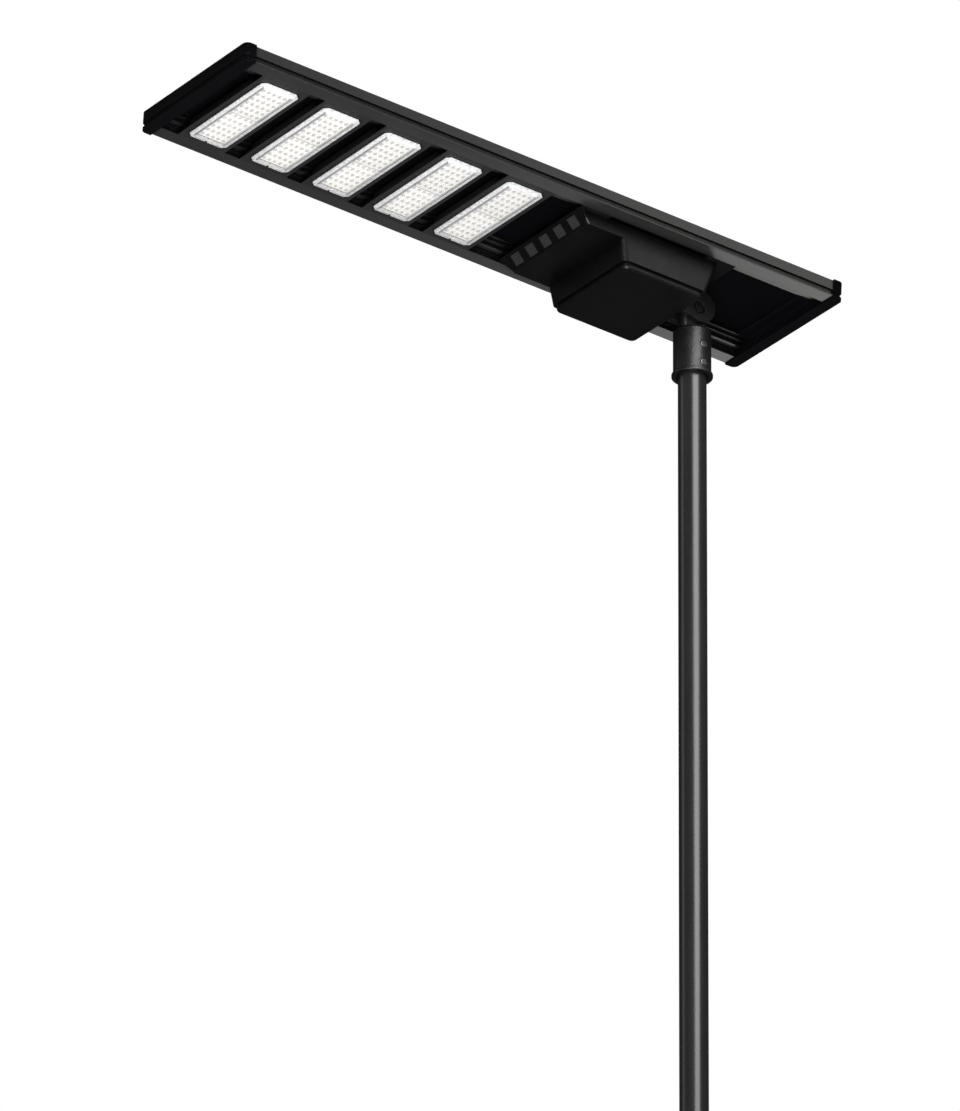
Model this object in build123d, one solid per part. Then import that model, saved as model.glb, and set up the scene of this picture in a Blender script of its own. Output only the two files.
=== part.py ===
"""Solar street lamp: a straight post, a clamp sleeve, a tilting head with a solar panel and LED modules.

Millimetres, +Z up. The origin is on the post's axis at the underside of its base plate.
+X points from the post towards the LED end of the head, so X-Z is the lamp's plane of symmetry.
Everything on the head is drawn in the head's own level frame, where z = 0 is the underside of the
side rails above the post's axis, and is then hung on the pivot at the rest tilt.
"""
import os
from math import hypot
from build123d import *

# ---- Driving dimensions -------------------------------------------------------------------------
# Post
pole_length = 3000.0
pole_d = 60.0
pole_wall = 3.0
base_size = 250.0
base_t = 12.0
base_corner_r = 15.0
anchor_spacing = 180.0
anchor_hole_d = 18.0
gusset_t = 8.0
gusset_w = 60.0
gusset_h = 90.0
# Clamp sleeve
sleeve_wall = 9.5
sleeve_gap = 0.5
pole_insertion = 85.0
sleeve_floor_gap = 0.3
sleeve_chamfer = 7.0
flange_lip = 3.5
flange_t = 8.0
flange_edge_r = 2.4
mouth_chamfer = 4.5
flange_below_pivot = 155.0
shoulder_below_pivot = 46.0
neck_pad_gap = 5.0
neck_w = 26.0
neck_corner_r = 9.0
set_screw_d = 10.0
set_screw_pocket_d = 17.0
set_screw_ring_gap = 1.6
set_screw_head_t = 2.0
set_screw_tip_gap = 0.3
set_screw_head_rise = 0.8
set_screw_socket_af = 5.0
set_screw_low = 22.0
set_screw_pitch = 42.0
# Pivot
tilt_at_rest = 3.0
pivot_depth = 41.0
pivot_bolt_d = 12.0
pivot_gap = 0.1
washer_t = 1.0
washer_gap = 0.3
washer_d = 26.0
cheek_t = 12.2
lug_r = 37.0
lug_back = 3.0
lug_up = 6.0
bolt_recess_d = 29.0
bolt_recess_depth = 8.5
bolt_head_af = 19.0
bolt_head_h = 7.5
nut_h = 7.0
bracket_pad_t = 8.0
bracket_pad_w = 90.0
bracket_web_t = 6.0
bracket_screw_d = 8.0
bracket_screw_af = 13.0
bracket_screw_head_h = 5.3
bracket_screw_x = 15.0
bracket_rim_gap = 9.0
bolt_end_gap = 1.0
# Head frame: side rails and end caps
head_rear = -251.0
head_front = 1267.0
head_width = 374.0
rail_h = 37.0
rail_wall = 2.5
rail_flange_w = 33.5
rail_flange_t = 3.0
rail_lip_h = 3.5
rail_groove_top = 15.0
rail_groove_depth = 4.0
rail_top_lip_w = 11.0
rail_top_lip_t = 1.8
rail_ledge_h = 9.0
rail_ledge_w = 24.5
rail_upper_ledge_h = 7.0
rail_upper_ledge_w = 12.0
rail_top_ledge_t = 6.0
ridge_count = 3
ridge_run = 2.5
ridge_top_gap = 3.0
panel_seat_w = 80.0
cap_len = 26.0
cap_proud = 2.5
cap_corner_r = 13.0
cap_groove = 3.0
cap_shelf_len = 30.0
cap_shelf_t = 7.0
cap_plug_len = 24.0
cap_screw_d = 4.0
cap_screw_head_d = 8.0
cap_screw_head_h = 3.0
cap_screw_inset = 11.0
cap_screw_drop = 4.0
cap_pocket_y = (19.0, 77.0)
cap_pocket_h = 5.0
cap_pocket_depth = 6.0
fit_gap = 0.3
# Solar panel
glass_t = 3.2
cell_t = 0.4
backsheet_t = 1.0
panel_end_gap = 1.0
cell_columns = 18
cell_rows = 2
cell_gap = 2.0
cell_margin_x = 14.0
cell_margin_y = 22.0
junction_box = (64.0, 84.0, 16.0)
junction_beam_gap = 20.0
junction_corner_r = 4.0
# LED bars, boards and lens plates
module_count = 5
front_bay = 69.0
window_bay = 76.5
slot_width = 37.0
bar_t = 4.0
bar_foot_w = 14.0
fin_count = 7
fin_t = 2.0
fin_top = 17.0
fin_end_gap = 17.0
bar_screw_d = 4.0
bar_screw_head_d = 7.0
bar_screw_head_h = 1.5
bar_screw_inset = 18.25
bar_screw_outboard = 5.5
lens_end_gap = 16.5
lens_side_gap = 12.75
lens_base_t = 2.5
lens_corner = 9.0
lens_end_rim = 10.0
lens_side_rim = 9.0
lens_depth = 8.0
lens_wall = 2.0
lens_dome_corner = 7.0
gasket_t = 1.0
gasket_w = 7.0
board_t = 1.6
board_side_gap = 1.0
board_end_gap = 4.0
board_corner_r = 6.0
# Battery housing
housing_wall = 3.0
housing_top = 4.0
housing_side_gap = 17.0
housing_side_draft = 7.0
housing_rear_top = 33.0
housing_rear_rim = 54.0
housing_front_top = 284.0
housing_front_rim = 268.0
rim_depth = 70.0
housing_corner_r = 13.0
rim_flange_w = 25.0
opening_corner_r = 10.0
step_depth = 24.0
step_front_top = 391.0
step_front_floor = 365.0
step_corner_r = 6.0
step_front_extra = 3.0
wire_hole_d = 20.0
wire_hole_gap = 16.0
window_count = 5
window_end_gap = 15.35
window_w = 27.0
window_h = 25.0
window_frame_t = 2.0
window_frame_gap = 3.5
window_recess = 0.5
indicator_hole_d = 8.0
cover_gap_h = 6.0
cover_gap_inset = 9.0
cover_rim_inset = 5.0
cover_h = 8.5
cover_edge_r = 7.0
cover_corner_r = 14.0
cover_wall = 2.5
cover_side_wall = 10.0
cover_inner_r = 8.0
cover_gasket_w = 6.0
cover_gasket_r = (10.0, 6.0)
cover_screw_d = 4.0
cover_screw_head_d = 7.2
cover_screw_head_h = 2.5
cover_screw_cap = 1.0
cover_boss_d = 9.0
cover_boss_gap = 0.5
cover_screw_inset = 20.0
# Battery pack and electronics
cell_d = 32.0
cell_pitch = 34.0
pack_rear_gap = 13.0
pack_side_gap = 0.5
pack_bottom_gap = 3.0
wiring_space = 10.0
holder_t = 6.0
holder_corner_r = 4.0
bms_t = 6.0
bms_gap = 2.0
bms_rise = 16.0
bms_size = (120.0, 46.0)
controller_size = (58.0, 120.0, 15.0)
controller_gap = 4.0
controller_corner_r = 3.0
# Cross beams that carry the housing and the pivot bracket
beam_t = 8.0
rear_beam_x = (-2.0, 64.0)
front_beam_x = (318.0, 386.0)
beam_end_gap = 1.0
beam_screw_inset = 12.0
beam_screw_d = 5.0
beam_screw_head_d = 7.5
beam_screw_head_t = 3.0

# ---- Derived places -----------------------------------------------------------------------------
sleeve_d = pole_d + 2 * (sleeve_gap + sleeve_wall)
flange_d = sleeve_d + 2 * flange_lip
neck_len_x = 2 * (pivot_depth + housing_top - bracket_pad_t - neck_pad_gap)
pole_top = base_t + pole_length
flange_z = pole_top - pole_insertion
pivot_z = flange_z + flange_below_pivot
half_w = head_width / 2
flange_inner = half_w - rail_flange_w
seat_inner = half_w - panel_seat_w
rail_rear = head_rear + cap_len
rail_front = head_front - cap_len
backsheet_bottom = rail_h - rail_top_lip_t - glass_t - cell_t - backsheet_t
chamber_inner = flange_inner + rail_wall
ledge_z = rail_flange_t + rail_ledge_h
upper_ledge_z = ledge_z + rail_upper_ledge_h
top_ledge_z = backsheet_bottom - rail_top_ledge_t
ledge_inner = flange_inner - rail_ledge_w
upper_ledge_inner = ledge_inner - rail_upper_ledge_w
ridge_foot = flange_inner - ridge_run * ridge_count
first_bar_front = head_front - front_bay
last_bar_rear = step_front_top + window_bay
bar_width = (first_bar_front - last_bar_rear - slot_width * (module_count - 1)) / module_count
bar_screw_span = bar_width - 2 * bar_screw_inset
fin_half_len = ledge_inner - fin_end_gap
lens_base_len = 2 * (flange_inner - lens_end_gap)
lens_base_w = bar_width - 2 * lens_side_gap
lens_dome_len = lens_base_len - 2 * lens_end_rim
lens_dome_w = lens_base_w - 2 * lens_side_rim
housing_half_w_top = flange_inner - housing_side_gap
housing_half_w_rim = housing_half_w_top - housing_side_draft
window_frame_half_top = flange_inner - window_frame_gap
beam_top = housing_top + beam_t
cover_top = -(rim_depth + cover_gap_h)
cover_bottom = cover_top - cover_h
cheek_inner = neck_w / 2 + washer_t + washer_gap
cheek_outer = cheek_inner + cheek_t
bracket_screw_y = (cheek_outer + bracket_pad_w / 2) / 2

# ---- Helpers ------------------------------------------------------------------------------------
nodes = {}


def box(x, y, z):
    """A box between pairs of limits."""
    size = (x[1] - x[0], y[1] - y[0], z[1] - z[0])
    centre = ((x[0] + x[1]) / 2, (y[0] + y[1]) / 2, (z[0] + z[1]) / 2)
    return Pos(*centre) * Box(*size)


def rod(d, start, end):
    """A round rod of diameter d between two points on one axis direction."""
    line = Vector(*end) - Vector(*start)
    place = Plane(origin=start, z_dir=line)
    return extrude(place * Circle(d / 2), line.length)


def hex_rod(across_flats, start, end):
    """A hexagonal rod between two points."""
    line = Vector(*end) - Vector(*start)
    place = Plane(origin=start, z_dir=line)
    return extrude(place * RegularPolygon(across_flats / 2, 6, major_radius=False), line.length)


def slab(x, half_y, z, corner=0.0):
    """A plate centred on Y = 0, with rounded corners in plan."""
    outline = Rectangle(x[1] - x[0], 2 * half_y)
    if corner > 0:
        outline = fillet(outline.vertices(), corner)
    return extrude(Pos((x[0] + x[1]) / 2, 0, z[0]) * outline, z[1] - z[0])


def tapered(x_top, half_top, z_top, x_low, half_low, z_low, corner):
    """A drafted block between two rounded rectangles, each centred on Y = 0."""
    faces = []
    for x, half, z in ((x_top, half_top, z_top), (x_low, half_low, z_low)):
        outline = fillet(Rectangle(x[1] - x[0], 2 * half).vertices(), corner)
        faces.append(Pos((x[0] + x[1]) / 2, 0, z) * outline)
    return loft(Sketch(faces[0].wrapped).faces() + Sketch(faces[1].wrapped).faces())


def whole(shape):
    """The shape as a list of its solids."""
    if isinstance(shape, (list, tuple)):
        return [solid for item in shape for solid in whole(item)]
    return list(shape.solids())


def add(name, shape):
    """Keeps a sub-part that is already in the lamp's frame."""
    nodes[name] = whole(shape)


def add_to_head(name, shape):
    """Hangs a sub-part, drawn in the level head frame, on the pivot at the rest tilt."""
    place = Pos(0, 0, pivot_z) * Rot(0, -tilt_at_rest, 0) * Pos(0, 0, pivot_depth)
    nodes[name] = [place * solid for solid in whole(shape)]


# ---- Post ---------------------------------------------------------------------------------------
plate = extrude(fillet(Rectangle(base_size, base_size).vertices(), base_corner_r), base_t)
for anchor in GridLocations(anchor_spacing, anchor_spacing, 2, 2):
    plate -= anchor * extrude(Circle(anchor_hole_d / 2), base_t)
add("base_plate", plate)

tube = extrude(Pos(0, 0, base_t) * (Circle(pole_d / 2) - Circle(pole_d / 2 - pole_wall)), pole_length)
add("pole_tube", tube)

gusset_reach = pole_d / 2 + gusset_w
gusset_outline = Polygon(
    (0, base_t),
    (gusset_reach, base_t),
    (gusset_reach, base_t + gusset_t),
    (pole_d / 2 + gusset_t, base_t + gusset_h),
    (0, base_t + gusset_h),
    align=None,
)
gusset = extrude(Plane.XZ * gusset_outline, gusset_t / 2, both=True)
gusset -= Pos(0, 0, base_t) * extrude(Circle(pole_d / 2), gusset_h)
add("base_gussets", [Rot(0, 0, 90 * quarter) * gusset for quarter in range(4)])

# ---- Clamp sleeve: flange, bore, shoulder and the neck that carries the pivot -----------------------
shoulder_z = pivot_z - shoulder_below_pivot
sleeve = extrude(Pos(0, 0, flange_z) * Circle(sleeve_d / 2), shoulder_z - flange_z)
sleeve = chamfer(sleeve.edges().sort_by(Axis.Z)[-1], sleeve_chamfer)
flange_ring = extrude(Pos(0, 0, flange_z) * Circle(flange_d / 2), flange_t)
sleeve += fillet(flange_ring.edges().filter_by(GeomType.CIRCLE), flange_edge_r)
neck_side = Circle(neck_len_x / 2)
neck_side += Pos(0, -shoulder_below_pivot / 2) * Rectangle(neck_len_x, shoulder_below_pivot)
neck = extrude(Plane((0, 0, pivot_z), x_dir=(1, 0, 0), z_dir=(0, -1, 0)) * neck_side, neck_w / 2, both=True)
neck_post = extrude(Pos(0, 0, flange_z) * fillet(Rectangle(neck_len_x, neck_w).vertices(), neck_corner_r),
                    pivot_z - flange_z)
neck -= box((-neck_len_x, neck_len_x), (-neck_w, neck_w), (shoulder_z - 1, pivot_z - 1))
neck += neck_post & box((-neck_len_x, neck_len_x), (-neck_w, neck_w), (shoulder_z - 1, pivot_z))
sleeve += neck
bore_d = pole_d + 2 * sleeve_gap
sleeve -= rod(bore_d, (0, 0, flange_z), (0, 0, pole_top + sleeve_floor_gap))
mouth = Pos(0, 0, flange_z + mouth_chamfer / 2) * Cone(
    bore_d / 2 + mouth_chamfer, bore_d / 2, mouth_chamfer)
sleeve -= mouth
sleeve -= rod(pivot_bolt_d + 2 * pivot_gap, (0, -neck_w, pivot_z), (0, neck_w, pivot_z))

set_screws = []
for row in range(2):
    screw_z = flange_z + set_screw_low + set_screw_pitch * row
    tip_y = pole_d / 2 + set_screw_tip_gap
    seat_y = sleeve_d / 2 - set_screw_head_t
    for side in (1, -1):
        hole = rod(set_screw_d, (0, side * bore_d / 4, screw_z), (0, side * seat_y, screw_z))
        pocket = rod(set_screw_pocket_d, (0, side * seat_y, screw_z), (0, side * sleeve_d, screw_z))
        sleeve -= hole + pocket
        shank = rod(set_screw_d, (0, side * tip_y, screw_z), (0, side * seat_y, screw_z))
        head_end = sleeve_d / 2 + set_screw_head_rise
        head_d = set_screw_pocket_d - 2 * set_screw_ring_gap
        head = rod(head_d, (0, side * seat_y, screw_z), (0, side * head_end, screw_z))
        socket_floor = head_end - set_screw_head_t
        socket_mouth = (0, side * sleeve_d, screw_z)
        socket = hex_rod(set_screw_socket_af, (0, side * socket_floor, screw_z), socket_mouth)
        set_screws.append(shank + head - socket)
add("pole_sleeve", sleeve)
add("sleeve_set_screws", set_screws)

washers = []
for side in (1, -1):
    start = (0, side * neck_w / 2, pivot_z)
    end = (0, side * (neck_w / 2 + washer_t), pivot_z)
    washers.append(rod(washer_d, start, end) - rod(pivot_bolt_d + 2 * pivot_gap, start, end))
add("friction_washers", washers)

# ---- Side rails: one hollow extrusion, mirrored ---------------------------------------------------
ridge_rise = (ledge_z - rail_flange_t) / 2 / ridge_count
ridge_top = ledge_z - ridge_top_gap
outline = [(flange_inner, 0), (half_w, 0), (half_w, rail_lip_h)]
outline += [(half_w - rail_groove_depth, rail_lip_h), (half_w - rail_groove_depth, rail_groove_top)]
outline += [(half_w, rail_groove_top), (half_w, rail_h), (half_w - rail_top_lip_w, rail_h)]
outline += [(half_w - rail_top_lip_w, rail_h - rail_top_lip_t)]
outline += [(half_w - rail_wall, rail_h - rail_top_lip_t), (half_w - rail_wall, backsheet_bottom)]
outline += [(seat_inner, backsheet_bottom), (seat_inner, top_ledge_z)]
outline += [(upper_ledge_inner, top_ledge_z), (upper_ledge_inner, upper_ledge_z)]
outline += [(ledge_inner, upper_ledge_z), (ledge_inner, ledge_z)]
outline += [(ridge_foot, ledge_z)]
for step in range(ridge_count):
    y = ridge_foot + ridge_run * step
    z = ridge_top - ridge_rise * step
    outline += [(y, z), (y + ridge_run, z)]
rail_face = Polygon(*outline, align=None)
roof = backsheet_bottom - rail_wall
chambers = [
    ((chamber_inner, half_w - rail_groove_depth - rail_wall), (rail_flange_t, roof)),
    ((ledge_inner + rail_wall, chamber_inner - rail_wall), (ledge_z + rail_wall, roof)),
    ((upper_ledge_inner + rail_wall, ledge_inner), (upper_ledge_z + rail_wall, roof)),
]
for y, z in chambers:
    rail_face -= Pos((y[0] + y[1]) / 2, (z[0] + z[1]) / 2) * Rectangle(y[1] - y[0], z[1] - z[0])
rail_plane = Plane((rail_rear, 0, 0), x_dir=(0, 1, 0), z_dir=(1, 0, 0))
rail = extrude(rail_plane * rail_face, rail_front - rail_rear)

# ---- LED bars: positions first, because the rails are drilled for their screws ----------------------
bar_pitch = bar_width + slot_width
bar_centres = [first_bar_front - bar_width / 2 - bar_pitch * i for i in range(module_count)]
bar_screw_y = ledge_inner + bar_screw_outboard
bar_screw_top = ledge_z + 2 * rail_wall
rail_holes = []


def screw_rows(x_low, x_high, y):
    """The four places of screws at two stations along the head, on both sides of it."""
    return [(x, side * y) for x in (x_low, x_high) for side in (1, -1)]


def under_head_screw(spot, shank_d, head_d, low, seat, top):
    """A screw that points up: its head from low to seat and its shank from seat to top."""
    return rod(head_d, (*spot, low), (*spot, seat)) + rod(shank_d, (*spot, seat), (*spot, top))


bar_screws = []
for centre in bar_centres:
    half_span = bar_screw_span / 2
    for spot in screw_rows(centre - half_span, centre + half_span, bar_screw_y):
        bar_screws.append(under_head_screw(
            spot, bar_screw_d, bar_screw_head_d, 0, bar_screw_head_h, bar_screw_top))
        rail_holes.append((*spot, bar_screw_d))

beam_half = ridge_foot - beam_end_gap
beam_screw_y = (beam_half + housing_half_w_top) / 2
beam_screws = []
for beam_x in (rear_beam_x, front_beam_x):
    for spot in screw_rows(beam_x[0] + beam_screw_inset, beam_x[1] - beam_screw_inset, beam_screw_y):
        beam_screws.append(under_head_screw(
            spot, beam_screw_d, beam_screw_head_d, housing_top - beam_screw_head_t, housing_top,
            bar_screw_top))
        rail_holes.append((*spot, beam_screw_d))

left_rail = rail
for x, y, hole_d in rail_holes:
    if y > 0:
        left_rail -= rod(hole_d, (x, y, ledge_z), (x, y, ledge_z + rail_wall))
cap_screw_y = chamber_inner + cap_screw_inset
cap_screw_z = rail_groove_top - cap_screw_drop
add_to_head("side_rail_left", left_rail)
add_to_head("side_rail_right", mirror(left_rail, Plane.XZ))

# ---- End caps -------------------------------------------------------------------------------------
cap_half = half_w + cap_proud
cap_top = rail_h + cap_proud


def end_cap(outer_x, inward):
    """A moulded cap whose outer face is at outer_x; inward is +1 towards +X."""
    inner_x = outer_x + inward * cap_len
    x = sorted((outer_x, inner_x))
    cap = box(x, (-cap_half, cap_half), (-cap_proud, cap_top))
    outer_edges = cap.edges().filter_by(Axis.Z).sort_by(Axis.X, reverse=inward < 0)[:2]
    cap = fillet(outer_edges, cap_corner_r)
    band = box((x[0] - 1, x[1] + 1), (-cap_half - 1, cap_half + 1), (rail_lip_h, rail_groove_top))
    core_x = sorted((outer_x + inward * cap_groove, inner_x + inward))
    core = box(core_x, (-cap_half + cap_groove, cap_half - cap_groove), (rail_lip_h, rail_groove_top))
    core_edges = core.edges().filter_by(Axis.Z).sort_by(Axis.X, reverse=inward < 0)[:2]
    cap -= band - fillet(core_edges, cap_corner_r - cap_groove)
    shelf_x = sorted((inner_x, inner_x + inward * cap_shelf_len))
    shelf_z = (backsheet_bottom - cap_shelf_t, backsheet_bottom - fit_gap)
    cap += box(shelf_x, (-seat_inner + fit_gap, seat_inner - fit_gap), shelf_z)
    plug_x = sorted((inner_x, inner_x + inward * cap_plug_len))
    plug_y = (chamber_inner + fit_gap, half_w - rail_groove_depth - rail_wall - fit_gap)
    plug_z = (rail_flange_t + fit_gap, roof - fit_gap)
    pocket_x = sorted((inner_x, inner_x - inward * cap_pocket_depth))
    pocket_z = (ledge_z - rail_flange_t, ledge_z - rail_flange_t + cap_pocket_h)
    for side in (1, -1):
        y = sorted((side * plug_y[0], side * plug_y[1]))
        cap += box(plug_x, y, plug_z)
        pocket_y = sorted((side * cap_pocket_y[0], side * cap_pocket_y[1]))
        cap -= box(pocket_x, pocket_y, pocket_z)
        spot = (side * cap_screw_y, cap_screw_z)
        tip = (inner_x + inward * (cap_plug_len - cap_screw_head_h), *spot)
        mouth_point = (outer_x + inward * cap_groove, *spot)
        floor_point = (outer_x + inward * (cap_groove + cap_screw_head_h), *spot)
        cap -= rod(cap_screw_d, floor_point, tip)
        cap -= rod(cap_screw_head_d, mouth_point, floor_point)
        cap_screws.append(rod(cap_screw_d, floor_point, tip)
                          + rod(cap_screw_head_d - fit_gap, mouth_point, floor_point))
    return cap


cap_screws = []
add_to_head("end_cap_front", end_cap(head_front, -1))
add_to_head("end_cap_rear", end_cap(head_rear, 1))
add_to_head("end_cap_screws", cap_screws)

# ---- Solar panel: glass, cells and backsheet, seated in the rails -----------------------------------
panel_x = (rail_rear + panel_end_gap, rail_front - panel_end_gap)
panel_half = half_w - rail_wall - fit_gap
cell_bottom = backsheet_bottom + backsheet_t
glass_bottom = cell_bottom + cell_t
add_to_head("pv_backsheet", slab(panel_x, panel_half, (backsheet_bottom, cell_bottom)))
add_to_head("pv_glass", slab(panel_x, panel_half, (glass_bottom, glass_bottom + glass_t)))
field_x = panel_x[1] - panel_x[0] - 2 * cell_margin_x
field_y = 2 * (panel_half - cell_margin_y)
cell_x = (field_x - cell_gap * (cell_columns - 1)) / cell_columns
cell_y = (field_y - cell_gap * (cell_rows - 1)) / cell_rows
cells = []
for spot in GridLocations(cell_x + cell_gap, cell_y + cell_gap, cell_columns, cell_rows):
    centre_x = (panel_x[0] + panel_x[1]) / 2 + spot.position.X
    cells.append(Pos(centre_x, spot.position.Y, cell_bottom + cell_t / 2) * Box(cell_x, cell_y, cell_t))
add_to_head("pv_cells", cells)
junction_front = front_beam_x[0] - junction_beam_gap
junction_x = (junction_front - junction_box[0], junction_front)
junction_z = (backsheet_bottom - junction_box[2], backsheet_bottom)
junction = slab(junction_x, junction_box[1] / 2, junction_z, junction_corner_r)
add_to_head("pv_junction_box", junction)

# ---- LED bars with boards, gaskets and lens plates ---------------------------------------------------
bar_half = flange_inner - fit_gap
for number, centre in enumerate(bar_centres, start=1):
    x = (centre - bar_width / 2, centre + bar_width / 2)
    bar = slab(x, bar_half, (0, bar_t))
    for side in (1, -1):
        foot_y = sorted((side * ledge_inner, side * (ledge_inner + bar_foot_w)))
        bar += box(x, foot_y, (bar_t, ledge_z))
    for fin in range(fin_count):
        fin_x = centre + (fin - (fin_count - 1) / 2) * (bar_width - 2 * fin_t) / (fin_count - 1)
        bar += box((fin_x - fin_t / 2, fin_x + fin_t / 2), (-fin_half_len, fin_half_len), (bar_t, fin_top))
    for spot in screw_rows(centre - bar_screw_span / 2, centre + bar_screw_span / 2, bar_screw_y):
        bar -= rod(bar_screw_d, (*spot, 0), (*spot, ledge_z))
        bar -= rod(bar_screw_head_d, (*spot, 0), (*spot, bar_screw_head_h))
    add_to_head(f"led_bar_{number}", bar)

    lens = extrude(Pos(centre, 0, -gasket_t - lens_base_t) * chamfer(
        Rectangle(lens_base_w, lens_base_len).vertices(), lens_corner), lens_base_t)
    dome = extrude(Pos(centre, 0, -lens_depth) * chamfer(
        Rectangle(lens_dome_w, lens_dome_len).vertices(), lens_dome_corner), lens_depth - gasket_t)
    lens += dome
    inner = extrude(Pos(centre, 0, -lens_depth + lens_wall) * chamfer(
        Rectangle(lens_dome_w - 2 * lens_wall, lens_dome_len - 2 * lens_wall).vertices(), lens_dome_corner),
        lens_depth - lens_wall)
    lens -= inner
    add_to_head(f"lens_plate_{number}", lens)

    ring = Pos(centre, 0, -gasket_t) * chamfer(Rectangle(lens_base_w, lens_base_len).vertices(), lens_corner)
    ring -= Pos(centre, 0, -gasket_t) * Rectangle(lens_base_w - 2 * gasket_w, lens_base_len - 2 * gasket_w)
    add_to_head(f"lens_gasket_{number}", extrude(ring, gasket_t))

    board_inset = lens_wall + board_side_gap
    board_x = (centre - lens_dome_w / 2 + board_inset, centre + lens_dome_w / 2 - board_inset)
    board = slab(board_x, lens_dome_len / 2 - lens_wall - board_end_gap, (-board_t, 0), board_corner_r)
    add_to_head(f"led_board_{number}", board)
add_to_head("led_bar_screws", bar_screws)

# ---- Cross beams -------------------------------------------------------------------------------------
for name, beam_x in (("cross_beam_rear", rear_beam_x), ("cross_beam_front", front_beam_x)):
    beam = slab(beam_x, beam_half, (housing_top, beam_top))
    for spot in screw_rows(beam_x[0] + beam_screw_inset, beam_x[1] - beam_screw_inset, beam_screw_y):
        beam -= rod(beam_screw_d, (*spot, housing_top), (*spot, beam_top))
    if name == "cross_beam_rear":
        for y in (-bracket_screw_y, bracket_screw_y):
            beam -= rod(bracket_screw_d, (bracket_screw_x, y, housing_top), (bracket_screw_x, y, beam_top))
    add_to_head(name, beam)
add_to_head("cross_beam_screws", beam_screws)

# ---- Battery housing: deep box, shallow step and slanted window front --------------------------------
deep_top = (housing_rear_top, housing_front_top)
deep_rim = (housing_rear_rim, housing_front_rim)
deep = tapered(deep_top, housing_half_w_top, housing_top, deep_rim, housing_half_w_rim, -rim_depth,
               housing_corner_r)
draft = (housing_half_w_top - housing_half_w_rim) / (housing_top + rim_depth)
step_half_floor = housing_half_w_top - draft * (housing_top + step_depth)
step_rear = (housing_rear_top + housing_front_top) / 2
step_top_x = (step_rear, step_front_top)
step_low_x = (step_rear, step_front_floor)
shelf_block = tapered(step_top_x, housing_half_w_top, housing_top, step_low_x, step_half_floor, -step_depth,
                      step_corner_r)
housing = deep + shelf_block
w = housing_wall
inner_top = housing_top - w
deep_hollow = tapered(
    (deep_top[0] + w, deep_top[1] - w), housing_half_w_top - w, inner_top,
    (deep_rim[0] + w, deep_rim[1] - w), housing_half_w_rim - w, -(rim_depth - w), housing_corner_r - w)
step_hollow = tapered(
    (step_rear, step_front_top - w - step_front_extra), housing_half_w_top - w, inner_top,
    (step_rear, step_front_floor - w), step_half_floor - w, -(step_depth - w), step_corner_r - w / 2)
opening_x = (housing_rear_rim + rim_flange_w, housing_front_rim - rim_flange_w)
opening_half = housing_half_w_rim - rim_flange_w
housing -= deep_hollow
housing -= step_hollow - deep_hollow
housing -= slab(opening_x, opening_half, (-rim_depth, -rim_depth + 2 * w), opening_corner_r)
wire_spot_x = junction_x[0] - wire_hole_gap
housing -= rod(wire_hole_d, (wire_spot_x, 0, inner_top), (wire_spot_x, 0, housing_top))

# The slanted front: a frame plate with windows, panes in it, and an indicator hole behind each pane.
slope_run = step_front_top - step_front_floor
slope_drop = housing_top + step_depth
slope_len = hypot(slope_run, slope_drop)
slope_normal = Vector(slope_drop, 0, -slope_run).normalized()
slope_mid = Vector((step_front_top + step_front_floor) / 2, 0, (housing_top - step_depth) / 2)
slope_plane = Plane(origin=slope_mid, x_dir=(0, 1, 0), z_dir=slope_normal)
frame_low = step_half_floor - step_corner_r
frame_shape = Polygon(
    (-frame_low, -slope_len / 2),
    (frame_low, -slope_len / 2),
    (window_frame_half_top, slope_len / 2),
    (-window_frame_half_top, slope_len / 2),
    align=None,
)
frame_plate = extrude(slope_plane * frame_shape, window_frame_t, dir=slope_normal)
frame_plate -= box((0, head_front), (-half_w, half_w), (housing_top, rail_h))
panes = []
window_pitch = (2 * (frame_low - window_end_gap) - window_w) / (window_count - 1)
for i in range(window_count):
    y = window_pitch * (i - (window_count - 1) / 2)
    opening = Pos(y, 0) * Rectangle(window_w, window_h)
    frame_plate -= extrude(slope_plane * opening, window_frame_t, dir=slope_normal)
    pane = Pos(y, 0) * Rectangle(window_w - 2 * fit_gap, window_h - 2 * fit_gap)
    panes.append(extrude(slope_plane * pane, window_frame_t - window_recess, dir=slope_normal))
    light_hole = slope_plane * (Pos(y, 0) * Circle(indicator_hole_d / 2))
    housing -= extrude(light_hole, 3 * w, dir=-slope_normal)
add_to_head("window_frame", frame_plate)
add_to_head("window_panes", panes)

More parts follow.
